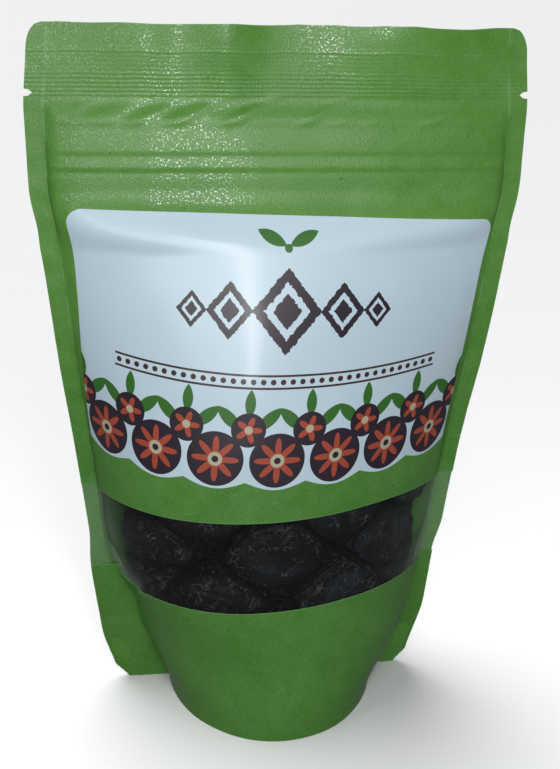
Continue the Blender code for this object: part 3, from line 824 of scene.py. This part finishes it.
def dress_fig(node, number, centres):
    """A finer copy of one packed fig, wrinkled and pressed to its neighbours and the film."""
    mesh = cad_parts[node].data.copy()
    fig = bpy.data.objects.new(f"fig_{number:02d}", mesh)
    bpy.context.scene.collection.objects.link(fig)
    shape = bmesh.new()
    shape.from_mesh(mesh)
    bmesh.ops.remove_doubles(shape, verts=shape.verts, dist=WELD * MM)
    poles = sorted(shape.verts, key=lambda corner: -len(corner.link_edges))[:2]
    stem, eye = [Vector(pole.co) for pole in poles][::(-1) ** number]
    shape.to_mesh(mesh)
    shape.free()
    bpy.ops.object.select_all(action="DESELECT")
    fig.select_set(True)
    bpy.context.view_layer.objects.active = fig
    finer = fig.modifiers.new("finer", "SUBSURF")
    finer.levels = FIG_LEVELS
    finer.render_levels = FIG_LEVELS
    bpy.ops.object.modifier_apply(modifier=finer.name)
    mesh = fig.data
    middle = centres[node]
    neighbours = [centre - middle for centre in centres.values() if 0 < (centre - middle).length < FIG_NEAR]
    axis = (stem - eye).normalized()
    shift = Vector([number * step for step in FOLD_STEP])
    values = {name: [] for name in ("fold", "touch", "end")}
    outwards = [Vector(normal.vector) for normal in mesh.vertex_normals]
    for corner, outward in zip(mesh.vertices, outwards):
        place = corner.co / MM
        fold = fig_fold(place - middle + shift, axis)
        ends = [max(1 - (place - end / MM).length / END_SIZE, 0.0) for end in (stem, eye)]
        grown = FIG_GROWTH - FOLD_DEPTH * fold + STEM_RISE * ends[0] - EYE_DIP * ends[1]
        place = place + outward * grown
        place, room = press_out(press_in(place, middle, neighbours), FIG_TOUCH)
        corner.co = place * MM
        values["fold"].append(fold)
        values["touch"].append(max(1 - max(room, 0.0) / TOUCH_FADE, 0.0))
        values["end"].append(ends[0] - ends[1])
    for name, marks in values.items():
        mesh.attributes.new(name, "FLOAT", "POINT").data.foreach_set("value", marks)
    mesh.shade_smooth()
    mesh.update()
    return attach(fig, "root")


fig_finish, shader, wire = new_finish("dried fig skin",
                                      {"Specular IOR Level": 0.13, "Coat Roughness": 0.35})
where = wire.node("TexCoord", {}, {}, "Object")
fold, touch, end = (wire.node("Attribute", {"attribute_name": name}, {}, "Fac")
                    for name in ("fold", "touch", "end"))
mottle = wire.noise(where, 5.0, 4.0)
curl = wire.noise(where, 2.7, 2.0)
hairs = abs(curl - 0.5).ramp(0.022, 0.008) * wire.noise(where, 4.5, 2.0).ramp(0.5, 0.6)
flecks = wire.node("TexVoronoi", {}, {"Vector": where, "Scale": 1 / (1.1 * MM)}, "Distance")
flecks = flecks.ramp(0.16, 0.07) * wire.noise(where, 6.0).ramp(0.5, 0.62)
painted_reflection_patches = wire.noise(where, 13.0, 2.0).ramp(0.42, 0.62)
brown = (fold * 0.3 + mottle - 0.5).ramp(0.15, 0.9)
colour = wire.mix(brown, FIG_BLACK, FIG_BROWN)
# Painted reflection: bluish grey patches, strongest where a fig presses on the film and faint everywhere,
# stand in for the film's reflection
colour = wire.mix(painted_reflection_patches * touch.ramp(0.0, 1.0) * 0.8 + painted_reflection_patches * 0.1, colour, FIG_PAINTED_REFLECTION)
colour = wire.mix(end.ramp(0.2, 0.8), colour, FIG_STEM)
colour = wire.mix(hairs * 0.6 + flecks * 0.7, colour, FLECK)
skin = wire.noise(where, 2.8, 5.0)
connect(shader, Base_Color=colour, Roughness=0.55 - 0.12 * touch + 0.25 * (mottle - 0.5),
        Coat_Weight=0.1 * touch,
        Normal=wire.node("Bump", {}, {"Strength": 1.0, "Distance": SKIN_BUMP * MM, "Height": skin}))
figs = sorted(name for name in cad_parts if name.startswith("dried_fig"))
centres = {}
for node in figs:
    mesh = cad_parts[node].data
    centres[node] = sum((corner.co for corner in mesh.vertices), Vector()) / len(mesh.vertices) / MM
for number, node in enumerate(figs, start=1):
    paint(dress_fig(node, number, centres), fig_finish, "dried_fig", node)

# Studio: a wide pale floor, a tall narrow light over the lens, which gives the sheen on the upper part, a
# wide soft one left of it, a broad one high behind for the floor and the back, and a pale surround. The
# floor throws no light back on the pouch. The camera stands where the photograph's did.
FLOOR_SIZE = 60.0
FLOOR_TONES = ((0.86, 0.865, 0.87, 1), (0.89, 0.89, 0.895, 1))
CAMERA_PLACE = (-0.04351, -0.35573, 0.24675)
CAMERA_PITCH = 0.351
CAMERA_YAW = 0.126
CAMERA_ROLL = -0.018
CAMERA_LENS = 51.28
FRAME_SIDE = 36.0
TARGET = (0.0, 0.0, 0.15)
STRIP_PLACE = (-0.004, -0.37, 0.29)
STRIP_SIZE = (0.05, 0.3)
STRIP_POWER = 0.78
LEFT_PLACE = (-0.14, -0.4, 0.26)
LEFT_SIZE = 0.2
LEFT_POWER = 0.36
HIGH_PLACE = (-0.25, 0.45, 0.9)
HIGH_SPREAD = math.radians(60)
HIGH_POWER = 3.1
SURROUND = 0.15
SURROUND_TINT = (0.95, 0.98, 1.0, 1)

bpy.ops.object.select_all(action="DESELECT")
bpy.ops.mesh.primitive_grid_add(x_subdivisions=8, y_subdivisions=8, size=FLOOR_SIZE, calc_uvs=False)
floor = bpy.context.object
floor.name = "studio_floor"
finish, shader, wire = new_finish("pale floor", {"Roughness": 0.75, "Specular IOR Level": 0.2})
where = wire.node("TexCoord", {}, {}, "Object")
connect(shader, Base_Color=wire.mix(wire.noise(where, 90.0), *FLOOR_TONES))
floor.data.materials.append(finish)
floor.visible_diffuse = False
floor.visible_glossy = False


def add_light(kind, name, place, target, power):
    """A soft light at a place, turned to its target."""
    lamp = bpy.data.lights.new(name, kind)
    lamp.energy = power
    light = bpy.data.objects.new(name, lamp)
    bpy.context.scene.collection.objects.link(light)
    light.location = place
    light.rotation_euler = (Vector(place) - Vector(target)).to_track_quat("Z", "Y").to_euler()
    return lamp


strip_light = add_light("AREA", "strip_light", STRIP_PLACE, TARGET, STRIP_POWER)
strip_light.shape = "RECTANGLE"
strip_light.size, strip_light.size_y = STRIP_SIZE
left_light = add_light("AREA", "left_light", LEFT_PLACE, TARGET, LEFT_POWER)
left_light.size = LEFT_SIZE
high_light = add_light("SUN", "high_light", HIGH_PLACE, (0, 0, 0), HIGH_POWER)
high_light.angle = HIGH_SPREAD

world = bpy.data.worlds.new("pale surround")
bpy.context.scene.world = world
world.use_nodes = True
background = world.node_tree.nodes["Background"]
background.inputs["Color"].default_value = SURROUND_TINT
background.inputs["Strength"].default_value = SURROUND
bpy.context.scene.view_settings.view_transform = "Standard"

lens = bpy.data.cameras.new("camera")
lens.sensor_fit = "VERTICAL"
lens.sensor_height = FRAME_SIDE
lens.lens = CAMERA_LENS
lens.clip_start = 0.01
camera = bpy.data.objects.new("camera", lens)
bpy.context.scene.collection.objects.link(camera)
turn = (Matrix.Rotation(-CAMERA_YAW, 4, "Z") @ Matrix.Rotation(math.pi / 2 - CAMERA_PITCH, 4, "X")
        @ Matrix.Rotation(-CAMERA_ROLL, 4, "Z"))
camera.matrix_world = Matrix.Translation(CAMERA_PLACE) @ turn
bpy.context.scene.camera = camera

bpy.context.view_layer.update()
